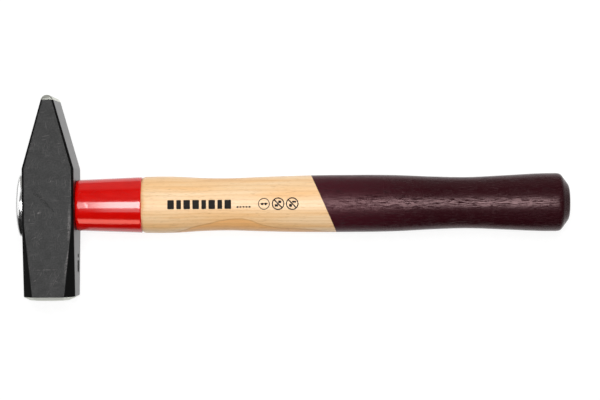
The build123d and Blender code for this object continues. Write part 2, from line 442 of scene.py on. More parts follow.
def scuff_mask(tree, space, scuffs, crumb):
    """1 on the marks, broken up by a fine noise, 0 elsewhere."""
    marks = []
    for x, y, length, width, turn_by in scuffs:
        own = add(tree, "ShaderNodeMapping", {
            "Vector": space, "Location": (x, y, CHEEK_LEVEL),
            "Rotation": (0, 0, math.radians(turn_by)),
            "Scale": (length / 2, width / 2, SCUFF_DEPTH)}, vector_type="TEXTURE")
        reach = add(tree, "ShaderNodeVectorMath", {0: own}, operation="LENGTH").outputs["Value"]
        marks.append(spread(tree, reach, 0.35, 1.0, 1.0, 0.0))
    total = strongest(tree, marks)
    broken = spread(tree, crumb, 0.42, 0.58)
    return add(tree, "ShaderNodeMath", {0: total, 1: broken}, operation="MULTIPLY")


def scratches(tree):
    """Hair lines about 0.25 mm wide, in three directions, on parts of the surface."""
    marks = []
    for turn_by, where in ((8, 7), (62, 9), (97, 8)):
        own = millimetres(tree, (0, 0, turn_by))
        hair = spread(tree, noise(tree, own, (9, 0.25, 9), 1.0), 0.64, 0.74, 0.0, 0.5)
        patch = spread(tree, noise(tree, own, (where, where, where), 1.0), 0.48, 0.62)
        marks.append(add(tree, "ShaderNodeMath", {0: hair, 1: patch}, operation="MULTIPLY"))
    return strongest(tree, marks)


# %% Black lacquer on forged steel
LACQUER_DEEP = linear("#080808")
# the cheeks' two greys: partly wear, partly painted light that makes the cheeks lighter than the
# facets
CHEEK_GREY_WEAR_AND_LIGHT = linear("#303030")
CHEEK_PALE_WEAR_AND_LIGHT = linear("#3A3A3A")
LACQUER_RUBBED = linear("#7A7676")
MATT_COAT = 0.55
MIRROR = 0.62                 # share of mirror reflection, where 0.5 is what the IOR gives
FACET_MIRROR = 0.2            # the same on the facets
MIRROR_GAIN = 0.6             # what is added to it where the coat is seen along its surface
POLISH_GAIN = -0.33           # and what is added to the roughness there


def black_lacquer():
    material, tree, shader = new_material("black_lacquer_on_forging")
    space = millimetres(tree)
    cloud = noise(tree, space, (5, 5, 5), 4.0, 0.65)
    grit = noise(tree, space, (1.1, 1.1, 1.1), 3.0, 0.6)
    crumb = noise(tree, space, (0.8, 0.8, 0.8), 3.0, 0.7)
    rubbed = scratches(tree)
    normal = add(tree, "ShaderNodeNewGeometry").outputs["Normal"]
    up = add(tree, "ShaderNodeSeparateXYZ", {0: normal})
    level = add(tree, "ShaderNodeMath", {0: up.outputs["Z"]}, operation="ABSOLUTE")
    # 1 on the cheeks, which get the grey of wear and painted light; facets and sides stay deep
    # black as painted shade
    cheek_mask_wear_and_light = spread(tree, level, 0.85, 0.97)
    cheek_tone_wear_and_light = blend(tree, spread(tree, cloud, 0.35, 0.65), CHEEK_GREY_WEAR_AND_LIGHT, CHEEK_PALE_WEAR_AND_LIGHT)
    for scuffs, tint in ((DARK_SCUFFS, LACQUER_DEEP), (LIGHT_SCUFFS, LACQUER_RUBBED)):
        scuffed = scuff_mask(tree, space, scuffs, crumb)
        cheek_tone_wear_and_light = blend(tree, spread(tree, scuffed, 0.0, 1.0, 0.0, 0.9), cheek_tone_wear_and_light, tint)
    cheek_tone_wear_and_light = blend(tree, spread(tree, grit, 0.3, 0.7, 0.0, 0.5), cheek_tone_wear_and_light, LACQUER_DEEP)
    cheek_tone_wear_and_light = blend(tree, rubbed, cheek_tone_wear_and_light, LACQUER_RUBBED)
    # painted light and shade: faces looking up or down take the lighter cheek tone, facets and
    # sides the deep black
    colour = blend(tree, cheek_mask_wear_and_light, LACQUER_DEEP, cheek_tone_wear_and_light)
    slope = spread(tree, level, 0.25, 0.45)
    facet = add(tree, "ShaderNodeMath", {0: slope, 1: cheek_mask_wear_and_light}, operation="SUBTRACT")
    mirror = spread(tree, facet, 0.0, 1.0, MIRROR, FACET_MIRROR)
    facing = add(tree, "ShaderNodeLayerWeight", {"Blend": 0.5}).outputs["Facing"]
    along = spread(tree, facing, 0.75, 0.93)
    share = add(tree, "ShaderNodeMath", {
        0: along, 1: MIRROR_GAIN, 2: mirror}, operation="MULTIPLY_ADD")
    gloss = add(tree, "ShaderNodeMath", {
        0: along, 1: POLISH_GAIN, 2: MATT_COAT}, operation="MULTIPLY_ADD")
    relief = add(tree, "ShaderNodeBump", {"Strength": 0.25, "Distance": 0.05 * MM, "Height": grit})
    feed(tree, shader, {"Base Color": colour, "Specular IOR Level": share, "Roughness": gloss,
                        "IOR": 1.38, "Normal": relief})
    return material

# %% [markdown]
# Face, bevel and peen tip are ground after hardening, which leaves bare steel with fine
# parallel wheel marks about 0.2 mm apart.

# %% Ground steel
def ground_steel():
    material, tree, shader = new_material("ground_bare_steel")
    space = millimetres(tree)
    marks = noise(tree, space, (6, 0.25, 6), 2.0, 0.6)
    tint = blend(tree, spread(tree, marks, 0.3, 0.7), linear("#E6E8E0"), linear("#F2F3EC"))
    gloss = spread(tree, marks, 0.3, 0.7, 0.6, 0.7)
    relief = add(tree, "ShaderNodeBump", {"Strength": 0.3, "Distance": 0.02 * MM, "Height": marks})
    feed(tree, shader, {"Base Color": tint, "Metallic": 1.0, "Roughness": gloss, "Normal": relief})
    return material

# %% [markdown]
# The sleeve is sheet steel, sprayed in gloss red enamel. Sprayed paint keeps a slight orange
# peel, waves a few millimetres long, that makes its reflections swim.

# %% Red enamel
def red_enamel():
    material, tree, shader = new_material("gloss_red_enamel")
    space = millimetres(tree)
    peel = noise(tree, space, (7, 3, 3), 1.0)
    colour = blend(tree, spread(tree, peel, 0.3, 0.7), linear("#C20502"), linear("#CB0702"))
    relief = add(tree, "ShaderNodeBump", {"Strength": 0.12, "Distance": 0.04 * MM, "Height": peel})
    feed(tree, shader, {
        "Base Color": colour, "Roughness": 0.2, "Specular IOR Level": 0.1, "Coat Weight": 1.0,
        "Coat IOR": 1.62, "Coat Roughness": 0.08, "Normal": relief})
    return material

# %% [markdown]
# Four plain finishes complete the set. The retaining plate is nickel and chromium plated, which
# mirrors the room, slightly blurred. Zinc on the screw is greyer and duller. The wedge is sawn
# beech, matt and rough, and the marks on the wood are printed in matt black ink.

# %% Plating, zinc, beech and ink
def plating(name, low, high, rough_low, rough_high):
    """A plated metal: two tints and two roughness values in faint polishing streaks."""
    material, tree, shader = new_material(name)
    streaks = noise(tree, millimetres(tree), (0.8, 7, 0.8), 2.0)
    tint = blend(tree, spread(tree, streaks, 0.3, 0.7), linear(low), linear(high))
    gloss = spread(tree, streaks, 0.3, 0.7, rough_low, rough_high)
    feed(tree, shader, {"Base Color": tint, "Roughness": gloss, "Metallic": 1.0})
    return material


def matt(name, low, high, size, rough):
    """A matt surface of two close tints in grains of a given size in millimetres."""
    material, tree, shader = new_material(name)
    grains = noise(tree, millimetres(tree), size, 2.0)
    tint = blend(tree, spread(tree, grains, 0.35, 0.65), linear(low), linear(high))
    feed(tree, shader, {"Base Color": tint, "Roughness": rough})
    return material


HICKORY = hickory()
PLUM_LACQUER = plum_lacquer()
BLACK = black_lacquer()
GROUND = ground_steel()
ENAMEL = red_enamel()
CHROME = plating("bright_plating", "#ECECEC", "#F6F6F6", 0.16, 0.22)
ZINC = plating("zinc_plating", "#BFC2C4", "#D4D5D3", 0.22, 0.34)
BEECH = matt("sawn_beech", "#B98A5C", "#CFA477", (12, 0.4, 0.4), 0.7)
INK = matt("matt_black_ink", "#120F0D", "#1D1814", (0.6, 0.6, 0.6), 0.75)
print("materials:", len(bpy.data.materials))

# %% [markdown]
# ## The head
# The forging is a stack of cut-cornered squares along Y: a crowned face, its ground bevel, a
# neck whose corner facets grow towards the face, the square zone round the eye and the wedge
# of the peen, which ends in a full round. Joining the sections in bmesh keeps every facet
# flat, and bevelling the sharp edges then breaks them as a forging die and a linisher do.

# %% Sections of the head
FACE_BEVEL = 3.0 * MM         # along the head
BEVEL_INSET = 3.8 * MM        # across it
CROWN_RISE = 0.9 * MM
FACET_START = -13.0 * MM
FACET_AT_FACE = 6.2 * MM
EYE_ZONE_EDGE = 1.5 * MM
PEEN_START = 23.5 * MM
PEEN_EDGE = 1.1 * MM
PEEN_TIP_WIDTH = 6.3 * MM
PEEN_TIP_RADIUS = 4.2 * MM
FACE_HALF = 16.4 * MM
EYE_HALF = UNDER
THICK_HALF = AXIS - head_low.z
PEEN_LEAN = math.atan2(EYE_HALF - PEEN_TIP_WIDTH / 2, head_high.y - PEEN_START)
TIP_MIDDLE = head_high.y - PEEN_TIP_RADIUS
TIP_START = TIP_MIDDLE + PEEN_TIP_RADIUS * math.sin(PEEN_LEAN)


def cut_square(y, half_x, half_z, cut_x, cut_z=None):
    """Eight corners of a square with cut corners, at y."""
    cut_z = cut_x if cut_z is None else cut_z
    quarter = [(half_x, half_z - cut_z), (half_x - cut_x, half_z)]
    ring = quarter + [(-x, z) for x, z in reversed(quarter)]
    ring += [(-x, -z) for x, z in ring]
    return [Vector((x, y, AXIS + z)) for x, z in ring]


def face_sections():
    """The crown from its middle outwards, then the bevel's two edges."""
    half_x = FACE_HALF - BEVEL_INSET
    half_z = THICK_HALF - BEVEL_INSET
    edge = FACET_AT_FACE - BEVEL_INSET * (2 - math.sqrt(2))
    rings = []
    for share in (0.2, 0.4, 0.6, 0.8, 1.0):
        y = head_low.y + CROWN_RISE * share**2
        rings.append(cut_square(y, half_x * share, half_z * share, edge * share))
    rings.append(cut_square(head_low.y + FACE_BEVEL, FACE_HALF, THICK_HALF, FACET_AT_FACE))
    return rings


def peen_sections():
    """The wedge's foot, then the arc of its tip, with the edge's chamfer led round it."""
    rings = [cut_square(PEEN_START, EYE_HALF, THICK_HALF, EYE_ZONE_EDGE)]
    steps = 12
    last = math.radians(84)   # a narrow flat closes the tip
    for step in range(steps + 1):
        angle = PEEN_LEAN + (last - PEEN_LEAN) * step / steps
        along = PEEN_TIP_RADIUS * math.sin(angle)
        half_x = PEEN_TIP_RADIUS * math.cos(angle)
        cut_z = min(PEEN_EDGE, PEEN_TIP_RADIUS - along)
        inner = math.sqrt(max(0, (PEEN_TIP_RADIUS - cut_z) ** 2 - along**2))
        rings.append(cut_square(TIP_MIDDLE + along, half_x, THICK_HALF - PEEN_EDGE + cut_z,
                                half_x - inner, cut_z))
    return rings


sections = face_sections()
sections.append(cut_square(FACET_START, EYE_HALF, THICK_HALF, EYE_ZONE_EDGE))
sections += peen_sections()
print("head sections:", len(sections))

# %% [markdown]
# Cutting one closed shape out of another is a boolean. The helper below applies it at once, so
# that each piece ends as a plain mesh. The eye's cutter is turned on the same oval lathe as the
# tenon that fills it, so the two fit.

# %% Boolean and modifier helpers
def cut(piece, cutter, operation="DIFFERENCE"):
    """Takes a cutter's shape out of a piece, or keeps only what they share."""
    cutter.data.materials.clear()
    boolean = piece.modifiers.new("cut", "BOOLEAN")
    boolean.operation = operation
    boolean.object = cutter
    boolean.solver = "EXACT"
    settle(piece)
    bpy.data.objects.remove(cutter)


def from_bmesh(name, shell, *materials):
    """A piece from a bmesh, with its materials."""
    bmesh.ops.recalc_face_normals(shell, faces=shell.faces)
    mesh = bpy.data.meshes.new(name)
    shell.to_mesh(mesh)
    shell.free()
    for material in materials:
        mesh.materials.append(material)
    return new_piece(name, mesh)


def even_shading(piece, crease):
    """Lets large flat faces keep their own normals, and creases edges past an angle."""
    piece.data.set_sharp_from_angle(angle=math.radians(crease))
    weighted = piece.modifiers.new("weighted normals", "WEIGHTED_NORMAL")
    weighted.keep_sharp = True
    settle(piece)


TOP_MOUTH = (15.7 * MM, 21.4 / 31.4, "corner")       # half height, thickness over height
GRIP_MOUTH = (15.0 * MM, 20.0 / 30.0, "corner")
TOP_CLOSE = (0, 0.68, "corner")                      # closes an end on the axis
GRIP_CLOSE = (0, 0.67, "corner")
EYE_OUTLINE = [(TOP, *TOP_MOUTH), (0, 14.5 * MM, 19.0 / 29.0, "corner"), (UNDER, *GRIP_MOUTH)]

# %% Build the head
EDGE_BREAK = 0.5 * MM
SHARP = math.radians(11)      # edges that bend more than this are broken
OVAL = 2.25                   # squareness of the eye, tenon, sleeve and grip
STAMP_DEPTH = 1.0 * MM
STAMP_ROUND = 0.8 * MM
STAMPS = [(5.0, 3.0, -32.5, 12.5), (7.0, 8.4, -39.3, 12.5)]     # width, length, y, z in mm


def forging():
    """The sections joined, with the long edges and the section edges broken."""
    shell = bmesh.new()
    rows = [[shell.verts.new(corner) for corner in section] for section in sections]
    for low, high in zip(rows, rows[1:]):
        for side in range(8):
            nxt = (side + 1) % 8
            shell.faces.new((low[side], low[nxt], high[nxt], high[side]))
    shell.faces.new(rows[0])
    shell.faces.new(rows[-1])
    bmesh.ops.remove_doubles(shell, verts=shell.verts, dist=0.001 * MM)
    bmesh.ops.recalc_face_normals(shell, faces=shell.faces)
    sharp = [
        edge for edge in shell.edges
        if edge.calc_face_angle(0) > SHARP
        and max(v.co.y for v in edge.verts) < TIP_START + EDGE_BREAK / 10]
    bmesh.ops.bevel(shell, geom=sharp, offset=EDGE_BREAK, offset_type="OFFSET", segments=4,
                    profile=0.5, affect="EDGES", clamp_overlap=True)
    return shell


def stamp(width, length, y, z):
    """A cutter for a plain mark with sloping walls, pressed into the side facing the grip."""
    slope = 2 * STAMP_DEPTH
    shell = bmesh.new()
    bmesh.ops.create_cube(shell, size=1)
    bmesh.ops.scale(shell, verts=shell.verts, vec=(slope, length + slope, width + slope))
    inner = [v for v in shell.verts if v.co.x < 0]
    bmesh.ops.scale(shell, verts=inner, vec=(
        1, (length - slope) / (length + slope), (width - slope) / (width + slope)))
    slopes = [e for e in shell.edges if abs(e.verts[0].co.x - e.verts[1].co.x) > STAMP_DEPTH]
    bmesh.ops.bevel(shell, geom=slopes, offset=STAMP_ROUND, segments=6, profile=0.5,
                    affect="EDGES", clamp_overlap=True)
    bmesh.ops.translate(shell, verts=shell.verts, vec=(EYE_HALF, y, z))
    return from_bmesh("stamp_cutter", shell, BLACK)


def eye_cutter():
    reach = 5 * MM
    eye = [(TOP - reach, *TOP_CLOSE), (TOP - reach, *TOP_MOUTH)]
    eye += EYE_OUTLINE
    eye += [(UNDER + reach, *GRIP_MOUTH), (UNDER + reach, *GRIP_CLOSE)]
    return turn("eye_cutter", eye, BLACK, rings=120, sides=96, squareness=OVAL)


def hammer_head():
    piece = from_bmesh("hammer_head_forging", forging(), BLACK, GROUND)
    cut(piece, eye_cutter())
    for mark in STAMPS:
        cut(piece, stamp(*[value * MM for value in mark]))
    for face in piece.data.polygons:
        y = face.center.y
        face.material_index = int(y < head_low.y + FACE_BEVEL or y > TIP_START)
        face.use_smooth = True
    even_shading(piece, 50)
    print(piece.name, len(piece.data.polygons), "faces")
    return piece


head = hammer_head()
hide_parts("hammer_head")
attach(head, "root")

# %% [markdown]
# ## The handle
# The handle is one piece of hickory: a tenon in the eye, a rebated neck under the sleeve, then
# the grip, which swells twice between two waists so that the hand finds its place, and a
# bevelled knob. Its outline is one curve, so the lathe makes it in one go.

# %% Outline of the handle
TENON_END = TOP - 1 * MM
NECK_END = sleeve_high.x
OVAL_EXCESS = 9.84 * MM       # height less thickness, the same all along neck and sleeve
NECK_HEIGHTS = (31.0 * MM, 34.1 * MM)
GRIP = [
    (64.0, 36.1), (79.0, 36.1), (99.0, 34.0), (115.0, 33.6), (136.0, 35.0), (160.0, 36.3),
    (190.0, 36.7), (220.0, 36.2), (247.0, 33.9), (267.0, 33.0), (290.0, 34.8), (310.0, 36.8),
    (320.0, 37.3),
]
BUTT_OUTLINE = [(7.3, 36.9), (6.5, 36.2), (3.9, 30.0), (1.9, 24.6), (1.2, 22.4), (0.45, 15.0)]


def neck_point(along, height):
    """A corner of the outline, from the full height there."""
    return along, height / 2, (height - OVAL_EXCESS) / height, "corner"


def tenon_outline():
    return [(TENON_END, *TOP_CLOSE), (TENON_END, *TOP_MOUTH)] + EYE_OUTLINE


def handle_outline():
    points = tenon_outline()
    points.append(neck_point(UNDER, NECK_HEIGHTS[0]))
    points.append(neck_point(NECK_END - 0.05 * MM, NECK_HEIGHTS[1]))
    points.append((NECK_END + 0.05 * MM, 16.4 * MM, HANDLE_RATIO, "corner"))
    points.append((NECK_END + 0.5 * MM, 17.35 * MM, HANDLE_RATIO, "corner"))
    points.append((NECK_END + 1.4 * MM, 17.8 * MM, HANDLE_RATIO, "smooth"))
    points += [(x * MM, high / 2 * MM, HANDLE_RATIO, "smooth") for x, high in GRIP]
    points += [(BUTT - x * MM, high / 2 * MM, HANDLE_RATIO, "smooth") for x, high in BUTT_OUTLINE]
    points.append((BUTT, 0, HANDLE_RATIO, "corner"))
    return points


handle = turn("hickory_handle", handle_outline(), HICKORY, rings=470, sides=144, squareness=OVAL)

# %% [markdown]
# ## The sleeve
# A rolled steel tube guards the neck. Its outline runs out along the outside, round the lip
# and back inside, so the lathe closes it into a tube with a real wall. Two missed blows have
# left shallow dents, which show only in how they bend the highlight.

# %% Build the sleeve
SLEEVE_WALL = 0.9 * MM
SLEEVE_HEIGHTS = (32.8 * MM, 35.9 * MM)
DENTS = [(25.0, -0.4, 0.035, 1.0), (23.9, 0.9, 0.02, 0.8)]      # x, y, depth, reach in mm


def sleeve_outline():
    """Both ends are rolled in: widely at the head, tightly at the wood."""
    lip, drop, roll = 2.0 * MM, 0.88 * MM, 0.7 * MM
    near, far = SLEEVE_HEIGHTS
    inside = -2 * SLEEVE_WALL
    points = [neck_point(UNDER, near + inside)]
    for step in range(7):
        angle = math.pi / 2 * (1 - step / 6)
        points.append(neck_point(UNDER + lip * (1 - math.sin(angle)),
                                 near - 2 * drop * (1 - math.cos(angle))))
    for step in range(5):
        angle = math.pi / 2 * step / 4
        points.append(neck_point(NECK_END - roll + roll * math.sin(angle),
                                 far - 2 * roll * (1 - math.cos(angle))))
    points.append(neck_point(NECK_END, far + inside))
    points.append(neck_point(UNDER, near + inside))
    return points


sleeve = turn("red_sleeve", sleeve_outline(), ENAMEL, rings=300, sides=144, squareness=OVAL)


def dent(piece, x, y, depth, reach):
    """A shallow knock in the upper side."""
    for vertex in piece.data.vertices:
        if vertex.co.z > AXIS:
            away = ((vertex.co.x / MM - x) ** 2 + (vertex.co.y / MM - y) ** 2) / reach**2
            vertex.co.z -= depth * MM * math.exp(-away)


for knock in DENTS:
    dent(sleeve, *knock)
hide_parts("protective_sleeve")
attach(sleeve, "root")

# %% [markdown]
# ## Plate and screw
# The plate is pressed from thick sheet: a level middle, a full round shoulder and a rim that
# bears on the head. Its screw hole is round while its rim is oval, so the ratio of thickness
# to height changes along the outline.

# %% Build the plate
PLATE_HEIGHT = plate_high.x - plate_low.x - 0.02 * MM   # keeps the round edge in the box
PLATE_HALF = (plate_high.y - plate_low.y) / 2
PLATE_RATIO = (plate_high.z - plate_low.z) / (plate_high.y - plate_low.y)
PLATE_WALL = 1.6 * MM
PLATE_RIM = 1.8 * MM
PLATE_LEVEL = 9.0 * MM
OVAL_RATE = 2.2               # the dome is as oval as its rim before it is halfway out
SCREW_RADIUS = (screw_high.y - screw_low.y) / 2
SCREW_CONE = 2.5 * MM
SHANK_RADIUS = 2.0 * MM
SCREW_PLAY = 0.1 * MM


def shoulder(half, height):
    """The quarter-round from the level middle down to the rim."""
    points = []
    steps = 10
    for step in range(steps + 1):
        angle = math.pi / 2 * (1 - step / steps)
        radius = PLATE_LEVEL + (half - PLATE_LEVEL) * math.cos(angle)
        out = PLATE_RIM + (height - PLATE_RIM) * math.sin(angle)
        share = (radius - SCREW_RADIUS) / (half - SCREW_RADIUS)
        ratio = 1 + (PLATE_RATIO - 1) * min(1, share * OVAL_RATE)
        points.append((TOP - out, radius, ratio, "smooth"))
    return points


def plate_outline():
    """Out from the screw hole over the dome to the rim, and back along the hollow side."""
    top = TOP - PLATE_HEIGHT
    under = top + SCREW_CONE + PLATE_WALL / 2
    start = (top + SCREW_CONE, SHANK_RADIUS + SCREW_PLAY, 1, "corner")
    points = [start, (top, SCREW_RADIUS + SCREW_PLAY, 1, "corner")]
    points += shoulder(PLATE_HALF, PLATE_HEIGHT)
    points += [(TOP, half, PLATE_RATIO, "corner") for half in (PLATE_HALF, PLATE_HALF - PLATE_WALL)]
    points += reversed(shoulder(PLATE_HALF - PLATE_WALL, PLATE_HEIGHT - PLATE_WALL))
    points += [(under, SCREW_RADIUS, 1, "corner")]
    return points + [(under, SHANK_RADIUS + SCREW_PLAY, 1, "corner"), start]


plate = turn("domed_plate", plate_outline(), CHROME, rings=220, sides=144)
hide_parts("retaining_plate")
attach(plate, "root")

# %% [markdown]
# The screw is countersunk, with a hexagon socket. Its thread bites into the wood and is never
# seen, so it is drawn as rings on the lathe rather than as a true helix.

# %% Build the screw
THREAD_PITCH = 1.6 * MM
THREAD_DEPTH = 0.35 * MM
HEX_RADIUS = 1.5 * MM / math.cos(math.pi / 6)
HEX_DEPTH = 1.8 * MM
SCREW_EDGE = 0.15 * MM


def screw_outline():
    """The chamfered head, the cone under it, the thread's rings and the point."""
    head_top = screw_low.x
    tip = screw_high.x
    points = [(head_top, 0, 1, "corner"), (head_top, SCREW_RADIUS - SCREW_EDGE, 1, "corner")]
    points.append((head_top + SCREW_EDGE, SCREW_RADIUS, 1, "corner"))
    along = head_top + SCREW_CONE
    points.append((along, SHANK_RADIUS, 1, "corner"))
    while along < tip - 2 * SHANK_RADIUS - THREAD_PITCH:
        points.append((along + THREAD_PITCH / 2, SHANK_RADIUS - THREAD_DEPTH, 1, "corner"))
        points.append((along + THREAD_PITCH, SHANK_RADIUS, 1, "corner"))
        along += THREAD_PITCH
    points.append((tip, 0, 1, "corner"))
    return points


def hexagon_cutter():
    shell = bmesh.new()
    bmesh.ops.create_cone(shell, cap_ends=True, segments=6, radius1=HEX_RADIUS,
                          radius2=HEX_RADIUS, depth=2 * HEX_DEPTH)
    bmesh.ops.rotate(shell, verts=shell.verts, matrix=Matrix.Rotation(math.pi / 2, 3, "Y"))
    bmesh.ops.translate(shell, verts=shell.verts, vec=(screw_low.x, 0, AXIS))
    return from_bmesh("hexagon_cutter", shell, ZINC)


screw = turn("countersunk_screw", screw_outline(), ZINC, rings=260, sides=48)
cut(screw, hexagon_cutter())
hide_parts("retaining_screw")
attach(screw, "root")

# %% [markdown]
# ## The wedge
# A sawn beech taper spreads the tenon. It fills a kerf as wide as the tenon, so it is the part
# that a flat taper shares with the tenon's own shape, bored through by the screw. The same
# taper and screw are then taken out of the handle.

# %% Build the wedge
WEDGE_DEPTH = 26.0 * MM
WEDGE_MOUTH = 6.4 * MM
WEDGE_TOE = 1.4 * MM
WEDGE_REACH = 20 * MM         # past the tenon on both sides, before it is trimmed


def taper():
    """The wedge before it is trimmed to the tenon: thick at the top of the head."""
    shell = bmesh.new()
    near = TENON_END - 0.5 * MM
    rows = []
    for along, thick in ((near, WEDGE_MOUTH), (TENON_END + WEDGE_DEPTH, WEDGE_TOE)):
        rows.append([shell.verts.new((along, y * WEDGE_REACH, AXIS + z * thick / 2))
                     for y, z in ((-1, -1), (1, -1), (1, 1), (-1, 1))])
    shell.faces.new(rows[0])
    shell.faces.new(rows[1])
    for side in range(4):
        nxt = (side + 1) % 4
        shell.faces.new((rows[0][side], rows[0][nxt], rows[1][nxt], rows[1][side]))
    return from_bmesh("handle_taper", shell, BEECH)


def bore():
    """The screw's own space, without its thread."""
    points = [(screw_low.x, 0, 1, "corner"), (screw_low.x, SCREW_RADIUS, 1, "corner"),
              (screw_low.x + SCREW_CONE, SHANK_RADIUS, 1, "corner"),
              (screw_high.x - 2 * SHANK_RADIUS, SHANK_RADIUS, 1, "corner"),
              (screw_high.x, 0, 1, "corner")]
    return turn("screw_bore", points, BEECH, rings=60, sides=48)


def tenon_copy():
    """The tenon on its own, closed where the handle's neck would start."""
    points = tenon_outline() + [(UNDER, *GRIP_CLOSE)]
    return turn("tenon_copy", points, BEECH, rings=90, sides=96, squareness=OVAL)


wedge = taper()
cut(wedge, tenon_copy(), "INTERSECT")
cut(wedge, bore())
cut(handle, taper())
cut(handle, bore())
even_shading(wedge, 30)
for piece in (wedge, handle):
    print(piece.name, len(piece.data.polygons), "faces")
wedge.name = "beech_wedge"
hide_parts("handle_wedge")
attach(wedge, "root")

# %% [markdown]
# The dip line is where the handle left the lacquer bath at a slant. Bisecting the mesh along
# that plane gives the two finishes one clean edge.

# %% Dip line
DIP_LINE = Vector((175.2 * MM, 0, 0))
DIP_SQUARE = Vector((1, 0.44, 0)).normalized()


def dip(piece, lacquer):
    """Gives the faces beyond the dip line the lacquer."""
    shell = bmesh.new()
    shell.from_mesh(piece.data)
    bmesh.ops.bisect_plane(
        shell, geom=shell.verts[:] + shell.edges[:] + shell.faces[:],
        plane_co=DIP_LINE, plane_no=DIP_SQUARE, dist=1e-6)
    for face in shell.faces:
        if (face.calc_center_median() - DIP_LINE).dot(DIP_SQUARE) > 0:
            face.material_index = 1
    shell.to_mesh(piece.data)
    shell.free()
    piece.data.materials.append(lacquer)


dip(handle, PLUM_LACQUER)
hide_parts("handle")
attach(handle, "root")

# %% [markdown]
# ## Printed marks
# Rows of plain black marks are pad-printed along the top of the handle. They are drawn flat
# and then draped: a tree casts every point straight down on the wood, lifts it by the ink's
# thickness and closes the film underneath.

# %% The draping tree
INK_GAP = 0.01 * MM           # lifts the film's underside clear of the wood
INK_FILM = 0.04 * MM
INK_WELD = 0.002 * MM


def drape_tree():
    tree, given = new_tree("drape marks", {
        "Marks": "Object", "Wood": "Object", "Film": "Float", "Material": "Material"})
    marks = add(tree, "GeometryNodeObjectInfo", {"Object": given["Marks"]})
    wood = add(tree, "GeometryNodeObjectInfo", {"Object": given["Wood"]})
    fine = add(tree, "GeometryNodeSubdivideMesh", {"Mesh": marks.outputs["Geometry"], "Level": 2})
    cast = add(tree, "GeometryNodeRaycast", {
        "Target Geometry": wood.outputs["Geometry"], "Ray Direction": (0, 0, -1),
        "Source Position": add(tree, "GeometryNodeInputPosition"), "Ray Length": 1.0})
    lifted = add(tree, "ShaderNodeVectorMath", {
        0: cast.outputs["Hit Normal"], 1: (INK_GAP,) * 3, 2: cast.outputs["Hit Position"]},
        operation="MULTIPLY_ADD")
    laid = add(tree, "GeometryNodeSetPosition", {"Geometry": fine, "Position": lifted})
    film = add(tree, "GeometryNodeExtrudeMesh", {
        "Mesh": laid, "Offset Scale": given["Film"], "Individual": False})
    under = add(tree, "GeometryNodeFlipFaces", {"Mesh": laid})
    both = add(tree, "GeometryNodeJoinGeometry")
    tree.links.new(under.outputs[0], both.inputs[0])
    tree.links.new(film.outputs["Mesh"], both.inputs[0])
    closed = add(tree, "GeometryNodeMergeByDistance", {"Geometry": both, "Distance": INK_WELD})
    return finish_tree(tree, closed, given["Material"])


# %% [markdown]
# Flat shapes come from closed 2D curves, which Blender fills by the even-odd rule: a loop
# inside a loop is a hole, and a loop inside that is solid again. Each mark is a list of loops.

# %% Draw the flat marks
FLAT_HEIGHT = 40 * MM


def round_box(x, y, width, height, radius, turned=0.0):
    """A rounded rectangle as a loop of points about (x, y)."""
    loop = []
    for corner in range(4):
        sx = 1 if corner in (0, 3) else -1
        sy = 1 if corner in (0, 1) else -1
        for step in range(5):
            a = math.pi / 2 * (corner + step / 4)
            px = sx * (width / 2 - radius) + radius * math.cos(a)
            py = sy * (height / 2 - radius) + radius * math.sin(a)
            loop.append((x + px * math.cos(turned) - py * math.sin(turned),
                         y + px * math.sin(turned) + py * math.cos(turned)))
    return loop


def ring_loops(x, y, radius, line, sides=48):
    """The two circles of a ring."""
    return [[(x + r * math.cos(2 * math.pi * k / sides), y + r * math.sin(2 * math.pi * k / sides))
             for k in range(sides)] for r in (radius, radius - line)]


def flat_mesh(loops):
    """Fills loops, given in millimetres, and lays the mesh well above the wood."""
    curve = bpy.data.curves.new("flat_mark", "CURVE")
    curve.dimensions = "2D"
    curve.fill_mode = "BOTH"
    for loop in loops:
        spline = curve.splines.new("POLY")
        spline.points.add(len(loop) - 1)
        for point, (x, y) in zip(spline.points, loop):
            point.co = (x * MM, y * MM, 0, 1)
        spline.use_cyclic_u = True
    holder = new_piece("flat_mark", curve)
    mesh = evaluated_mesh(holder)
    bpy.data.objects.remove(holder)
    mesh.transform(Matrix.Translation((0, 0, FLAT_HEIGHT)))
    return mesh


# the plain blocks in the row nearest the sleeve, then the dashes and the rings, in millimetres
BLOCK_WIDTHS = (4.2, 3.0, 4.2, 4.2, 3.0, 4.2, 3.0, 4.2)
BLOCK_START, BLOCK_GAP, BLOCK_HEIGHT = 75.6, 1.5, 5.8
DASH_START, DASH_STEP, DASH_LINE = 120.2, 1.9, -1.7
RING_LINE = 0.2


def block_row():
    marks = []
    x = BLOCK_START
    for width in BLOCK_WIDTHS:
        marks.append([round_box(x + width / 2, 0, width, BLOCK_HEIGHT, 0.5)])
        x += width + BLOCK_GAP
    return marks


def dash_row():
    """Five small dashes between the blocks and the rings."""
    return [[round_box(DASH_START + DASH_STEP * step, DASH_LINE, 1.3, 1.0, 0.25)]
            for step in range(5)]


def ring_signs():
    """A ring with two lenses and a bar, then two rings with two blots each, struck through."""
    slash = math.radians(-45)
    signs = [ring_loops(137, RING_LINE, 3.7, 0.5)]
    signs[0] += [round_box(135.9, 0.1, 1.7, 1.5, 0.6), round_box(138.1, 0.1, 1.7, 1.5, 0.6)]
    signs.append([round_box(137, 0.5, 5.0, 0.3, 0.1)])
    for x in (146, 155):
        signs.append(ring_loops(x, RING_LINE, 4.0, 0.7))
        signs.append([round_box(x, RING_LINE, 7.2, 0.8, 0.1, slash)])
    signs.append([round_box(144.9, -0.9, 2.2, 1.5, 0.3), round_box(147.1, 1.4, 2.0, 1.5, 0.3)])
    signs.append([round_box(153.9, -0.9, 2.0, 1.9, 0.7), round_box(156.2, 1.4, 2.6, 1.2, 0.3)])
    return signs


